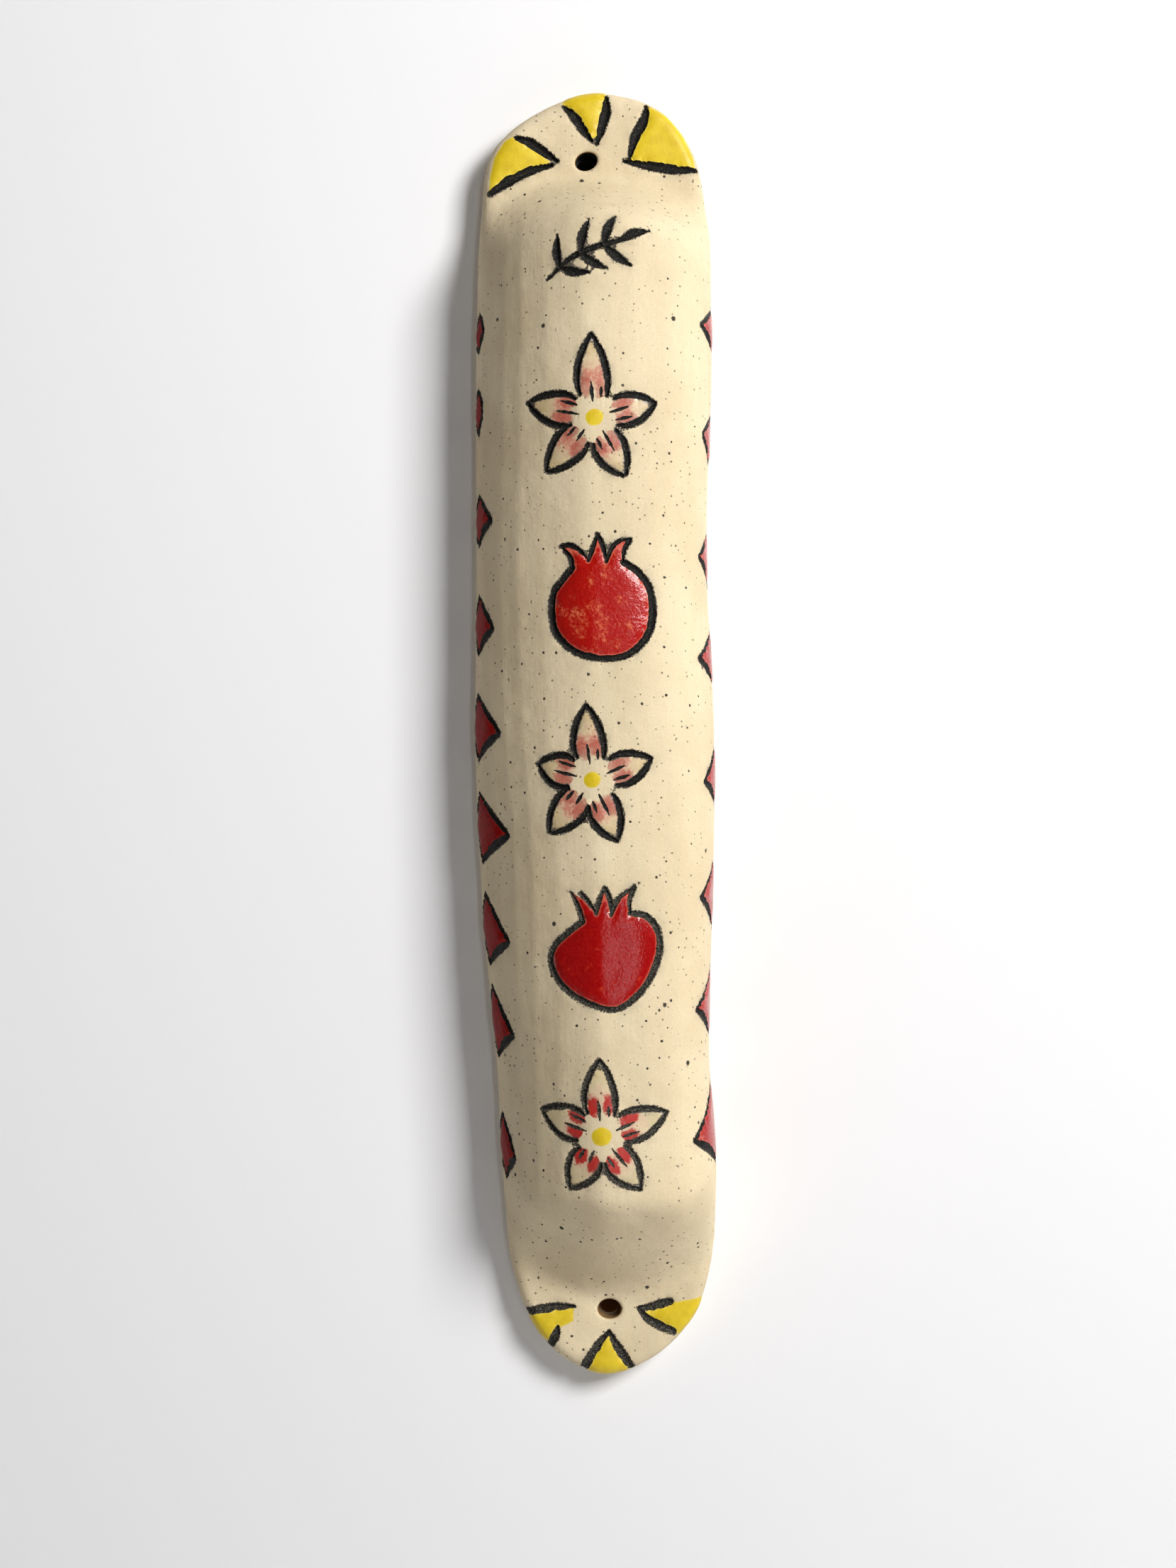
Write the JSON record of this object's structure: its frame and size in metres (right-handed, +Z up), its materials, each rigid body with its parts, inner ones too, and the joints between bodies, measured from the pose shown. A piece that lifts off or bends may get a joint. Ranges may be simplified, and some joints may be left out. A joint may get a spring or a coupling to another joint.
{
  "type": "mezuzah case",
  "caption": "Upright domed ceramic case for a parchment scroll, open at the back, with a nail hole in the flat flange at each end and incised, glazed decoration.",
  "frame": {"origin": "on the top nail hole's axis, in the plane of the flat back that lies on the doorpost", "axes": "+Z up as the case hangs, -Y out of the decorated front, +X to the right seen from the front"},
  "size_m": [0.0315, 0.0181, 0.1657],
  "materials": {
    "clay": "matte, speckled, unglazed",
    "black_slip": "matte, rubbed into the incised lines",
    "red_glaze": "glossy, mottled",
    "yellow_glaze": "satin underglaze",
    "petal_wash": "thin underglaze wash",
    "parchment": "matte, blank",
    "wrap_paper": "waxed, translucent"
  },
  "bodies": {
    "case": {"case_shell": "clay", "flower_top_outline": "black_slip", "flower_top_petals": "petal_wash", "flower_top_centre": "yellow_glaze", "flower_middle_outline": "black_slip", "flower_middle_petals": "petal_wash", "flower_middle_centre": "yellow_glaze", "flower_bottom_outline": "black_slip", "flower_bottom_petals": "petal_wash", "flower_bottom_centre": "yellow_glaze", "pomegranate_upper_outline": "black_slip", "pomegranate_upper_glaze": "red_glaze", "pomegranate_lower_outline": "black_slip", "pomegranate_lower_glaze": "red_glaze", "top_ray_lines": "black_slip", "top_ray_glaze": "yellow_glaze", "bottom_ray_lines": "black_slip", "bottom_ray_glaze": "yellow_glaze", "top_sprig": "black_slip", "left_diamond_outlines": "black_slip", "left_diamond_glaze": "red_glaze", "right_diamond_outlines": "black_slip", "right_diamond_glaze": "red_glaze"},
    "scroll": {"parchment_scroll": "parchment", "scroll_wrap": "wrap_paper"}
  },
  "joints": [
    {"name": "scroll_slide", "type": "slide", "parent": "case", "child": "scroll", "axis": [0, 1, 0], "range_m": [0, 0.025]}
  ]
}
